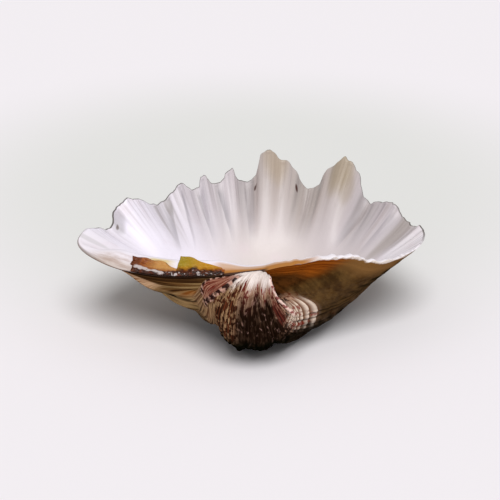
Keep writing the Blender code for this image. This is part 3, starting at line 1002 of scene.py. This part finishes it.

# %% [markdown]
# ## The porcelain inside
# The animal polishes the inside, so it is smooth and almost white, with a lavender cast at both ends and a
# cream one in the middle. One flat white would look like plastic, so two wide noises and a fan of streaks
# down into the hollow make it a little uneven. Painted shade greys the upper walls of the hollow and the
# grooves between the inner riblets.

# %% The porcelain inside
pearl = ShellFinish("porcelain inside", roughness=0.42, specular=0.35)
D, S, deep = pearl.distance, pearl.share, pearl.deep
cloud = pearl.noise(pearl.place, 18, 2, 0.5)
veil = pearl.noise(pearl.place, 45, 3, 0.55)
fan = pearl.pattern(7, 2.0, 3, 0.55, deep)
fine_fan = pearl.pattern(2.0, 1.0, age=deep)
inner_rib = pearl.attribute("ribs")
white = layers(
    tone(D, 190, 270, (242, 236, 248), (210, 200, 198)),
    (step(D, 280, 340), (202, 192, 193)),
    (step(D, 380, 400), (243, 237, 245)),
    (step(cloud, 0.35, 0.65) * 0.3, (226, 216, 212)),
    (step(veil, 0.55, 0.7) * 0.25, (222, 204, 210)),
    # Painted shade: the upper walls of the hollow are greyer than its floor.
    (hump(D, 175, 215, 380, 400) * step(deep, 0.45, 0.1) * 0.55, (192, 184, 190)),
    # Painted shade in the grooves between the inner riblets, broken up by the fan.
    (step(inner_rib, -0.06, -0.36) * step(fan, 0.3, 0.6) * 0.45, (134, 126, 132)),
)
print(pearl)

# %% [markdown]
# ## Painted shade beside the folds inside
# Beside each fold the hollow side is painted grey as shade: sharp where the fold turns, and soft on the
# other side. The valleys of the folds near the rim get painted shade too. The two tall lobes are tan. A
# one-sided line is a narrow step times a wide one of the distance from the fold, and the strongest of the
# lines counts.

# %% Painted shade beside the folds inside
# Distance, drift for a radian of depth, the side that is soft, width in mm and strength of each shade line.
FOLD_SHADE_LINES = (
    (207, -42, -1, 7, 0.5), (214, -20, 1, 3, 0.45), (225, 8, 1, 7, 0.5), (239, 18, 1, 6, 0.6),
    (258, 10, 1, 8, 0.35), (344.6, -16, -1, 7, 0.5), (365.5, -8, 1, 8, 0.35),
)
free = hump(D, 128, 150, 436, 460)
near_rim = step(deep, 0.36, 0.02) * hump(D, 140, 172, 440, 470)
fold_shade = 0
for distance, drift, side, wide, strength in FOLD_SHADE_LINES:
    off = (D - distance - deep * drift) * side + (veil - 0.5) * 2
    fold_shade_line = step(off, -0.5, 0.5) * step(off, wide, 1) * strength
    fold_shade = pearl.maths("MAXIMUM", fold_shade, fold_shade_line)
white = layers(
    white,
    # Painted shade beside each fold, fading down the hollow.
    (fold_shade * hump(deep, 0.01, 0.05, 0.14, 0.36), (128, 122, 130)),
    (near_rim * hump(D, 262, 270, 330, 338) * 0.7, (186, 174, 166)),
    # Painted shade in the valleys of the folds near the rim.
    (near_rim * step(pearl.attribute("fold"), -0.02, -0.4) * 0.36, (146, 142, 138)),
    (near_rim * step(fan, 0.5, 0.72) * 0.45, (172, 156, 148)),
    (step(deep, 0.2, 0.02) * free * step(fine_fan, 0.48, 0.7) * 0.4, (150, 140, 140)),
)
print(pearl)

# %% [markdown]
# ## Marks near the edge
# Tan patches lie on the lobes, small brown specks in the notches, and thin lines of painted shade along the
# creases beside the lobes. A few grey marks are painted shade as well. The broken edge is painted dark grey
# as an outline, save on the right lip, and brown at its left end. A mark is an ellipse on the growth map:
# full in its middle, and gone where the sum of two squares reaches 1.

# %% Marks near the edge
# Distance, depth, width in mm, length in radians, colour and strength of each mark.
# The grey marks at 163, 130 and 377 are painted shade: round the speck at 161, along a groove, and in the
# fold before the tip.
MARKS = (
    (279, 0.0, 11, 0.13, (172, 154, 130), 0.6), (323, 0.02, 10, 0.14, (162, 144, 114), 0.65),
    (330, 0.08, 5, 0.08, (150, 132, 104), 0.4), (265.7, 0.048, 1.2, 0.014, (70, 40, 30), 0.85),
    (293.6, 0.048, 1.2, 0.016, (70, 34, 26), 0.95), (163, 0.03, 5, 0.06, (146, 142, 142), 0.5),
    (161, 0.025, 1.3, 0.012, (84, 66, 54), 0.8), (203, 0.03, 3, 0.06, (120, 110, 100), 0.4),
    (130, 0.04, 3, 0.14, (170, 168, 164), 0.35), (377, 0.1, 6, 0.3, (150, 138, 128), 0.45),
)
for distance, depth, wide, long, colour, strength in MARKS:
    a, b = (D - distance) / wide, (deep - depth) / long
    white = blend(step(a * a + b * b, 1.0, 0.1) * strength, white, colour)
off_crease = pearl.maths("ABSOLUTE", D - 262)
for distance in (301, 341):
    off_crease = pearl.maths("MINIMUM", off_crease, pearl.maths("ABSOLUTE", D - distance))
# Painted shade: thin grey lines along the creases beside the lobes.
crease_shade = step(off_crease + pearl.maths("ABSOLUTE", veil - 0.5) * 8, 4, 0.5)
wide_edge = step(D, 270, 256) * 0.3 + step(D, 336, 350) * 0.2
# The broken edge is painted dark grey, as an outline along the rim.
dark_outline = step(S - wide_edge, 0.62, 0.42) * (0.6 + step(veil, 0.35, 0.65) * 0.35)
white = layers(
    white,
    (crease_shade * hump(deep, 0.0, 0.04, 0.12, 0.32) * 0.4, (150, 138, 138)),
    (dark_outline * free * step(D, 426, 400), (88, 82, 76)),
    (step(S, 0.4, 0.1) * hump(D, 78, 92, 128, 150) * 0.8, (112, 96, 84)),
)
print(pearl)

# %% [markdown]
# ## Stains and painted shadow on the shelf
# The shelf is tan at its left end, amber where the ligament's skin has come off, and nearly black with
# painted shadow under what is left of it. It has a brown line along the hinge below the beak. The hinge
# crosses the place where the distance starts again from 0, so it is wrapped into one that runs through.

# %% Stains and painted shadow on the shelf
on_shelf = step(S, 0.999, 0.99)
shelf_grain = pearl.noise(pearl.point(S * 7, D * 0.08, 3.0), 1.0, 4, 0.6)
torn = (shelf_grain - 0.5) * 0.5
through_hinge = pearl.maths("WRAP", D, ROUND - 80, -80.0)
hinge_line = hump(through_hinge, -34, -20, 24, 34) * on_shelf
tan_place = hump(D, 66, 78, 96, 116) * on_shelf * step(S + torn, 1.0, 0.35) * 0.9
tan = layers(
    tone(shelf_grain, 0.35, 0.65, (176, 152, 138), (208, 194, 186)),
    (step(S + torn * 0.5, 0.2, 0.02), (104, 70, 48)),
)
amber_place = hump(D + torn * 12, 52, 62, 68, 76) * step(S + torn * 0.4, 1.02, 0.8) * 0.9
brown_place = step(S + torn * 0.2, 0.36, 0.24) * step(through_hinge, -3, 1)
stains_and_shadow = layers(
    white,
    (tan_place, tan),
    (amber_place, tone(S + torn, 0.45, 0.75, (170, 96, 26), (214, 190, 124))),
    # Painted shadow under the ligament's remains: nearly black along the shelf's outer edge.
    (step(S + torn * 0.3, 0.24, 0.12) * hump(D, 20, 30, 72, 80) * on_shelf, (44, 22, 10)),
    (hinge_line * step(S + torn * 0.3, 0.95, 0.7) * 0.8, (192, 144, 92)),
    (hinge_line * step(S + torn * 0.3, 0.66, 0.4),
     blend(brown_place, (176, 116, 50), (62, 30, 12))),
)
pearl.feed("Base Color", stains_and_shadow)
print(pearl)

# %% [markdown]
# ## Gloss and fine relief inside
# Porcelain has a soft gloss. A thin clear coat over a rougher ground gives it without a mirror's sharpness.
# Fine ridges run in from the edge as a bump and fade with depth. Both finishes then go on the valve's two
# slots.

# %% Gloss and fine relief inside
pearl.feed("Roughness", 0.42 + on_shelf * 0.1 + (veil - 0.5) * 0.12)
pearl.shader.inputs["Coat Weight"].default_value = 0.06
pearl.shader.inputs["Coat Roughness"].default_value = 0.25
ribbed = free * step(D, 136, 165)
ridges = pearl.bump(fan * near_rim * ribbed, 0.0008)
fine_ridges = pearl.bump(fine_fan * step(deep, 0.2, 0.02) * ribbed, 0.0005, ridges)
pearl.feed("Normal", pearl.bump(pearl.noise(pearl.place, 260, 3, 0.5), 0.00015, fine_ridges))
valve.data.materials.append(pearl.material)
valve.data.materials.append(coat.material)
print(pearl)

# %% [markdown]
# ## The dry ligament
# Dried horn is brown to amber, with fibres along it. The skin is paler towards its left end, and the block
# is olive on top. All of it depends on the place along and across the hinge and on the height, which the
# mesh carries.

# %% The dry ligament
horn = Finish("dry ligament", roughness=0.4, specular=0.3)
hinge_place = horn.node("UVMap", {"uv_map": "place"})
along_mm, across = horn.part(hinge_place, 0) * 100, horn.part(hinge_place, 1)
thick = horn.attribute("lift")
fibre = horn.noise(horn.point(along_mm * 0.25, across * 14, 0.0), 1.0, 4, 0.65)
crackle = horn.noise(horn.node("TexCoord", output=3), 420, 3, 0.6)
torn = (crackle - 0.5) * 0.3
paler = step(along_mm + torn * 16, 74, 62) * step(across + torn * 0.5, 0.3, 0.5)
amber = layers(
    tone(fibre, 0.3, 0.7, (110, 48, 12), (162, 92, 36)), (paler * 0.8, (208, 154, 84)))
block_top = step(along_mm + torn * 10, 32, 50) * step(thick, 3.0, 4.6)
olive_block = layers(
    tone(thick + torn * 4, 1.0, 3.4, (160, 80, 8), (188, 132, 14)),
    (block_top * 0.8, (146, 130, 30)),
    (step(fibre, 0.6, 0.8) * 0.4, (110, 72, 8)),
)
block_place = step(along_mm + torn * 2, 52, 51) * step(across, 0.27, 0.33)
print(horn)

# %% [markdown]
# The front layer is nearly black. It carries chalky flakes, where it came off the shell with a film of
# lime: a long flake at the left and crumbs right of it. Flakes could be pieces of their own, but they are
# thinner than paper, so they are a band of colour along the hinge, cut by the crackle.

# %% Front layer and chalk
off_chalk = across - 0.15 - step(along_mm, 58, 77) * 0.2 + torn * 0.3
chalk_band = hump(off_chalk, -0.12, -0.08, 0.07, 0.11) * step(along_mm, 79, 77)
chalk = chalk_band * step(crackle + step(along_mm, 56, 62) * 0.25, 0.55, 0.6)
horn.feed("Base Color", layers(
    amber,
    (block_place, olive_block),
    (step(across + torn * 0.3, 0.36, 0.3), tone(fibre, 0.4, 0.7, (38, 18, 8), (98, 42, 14))),
    (step(along_mm + torn * 20, 74.5, 77), (104, 50, 18)),
    (chalk, (196, 184, 182)),
))
horn.feed("Roughness", 0.35 + chalk * 0.3)
horn.feed("Normal", horn.bump(crackle, 0.0008, horn.bump(fibre, 0.0008)))
ligament.data.materials.append(horn.material)
print(horn)
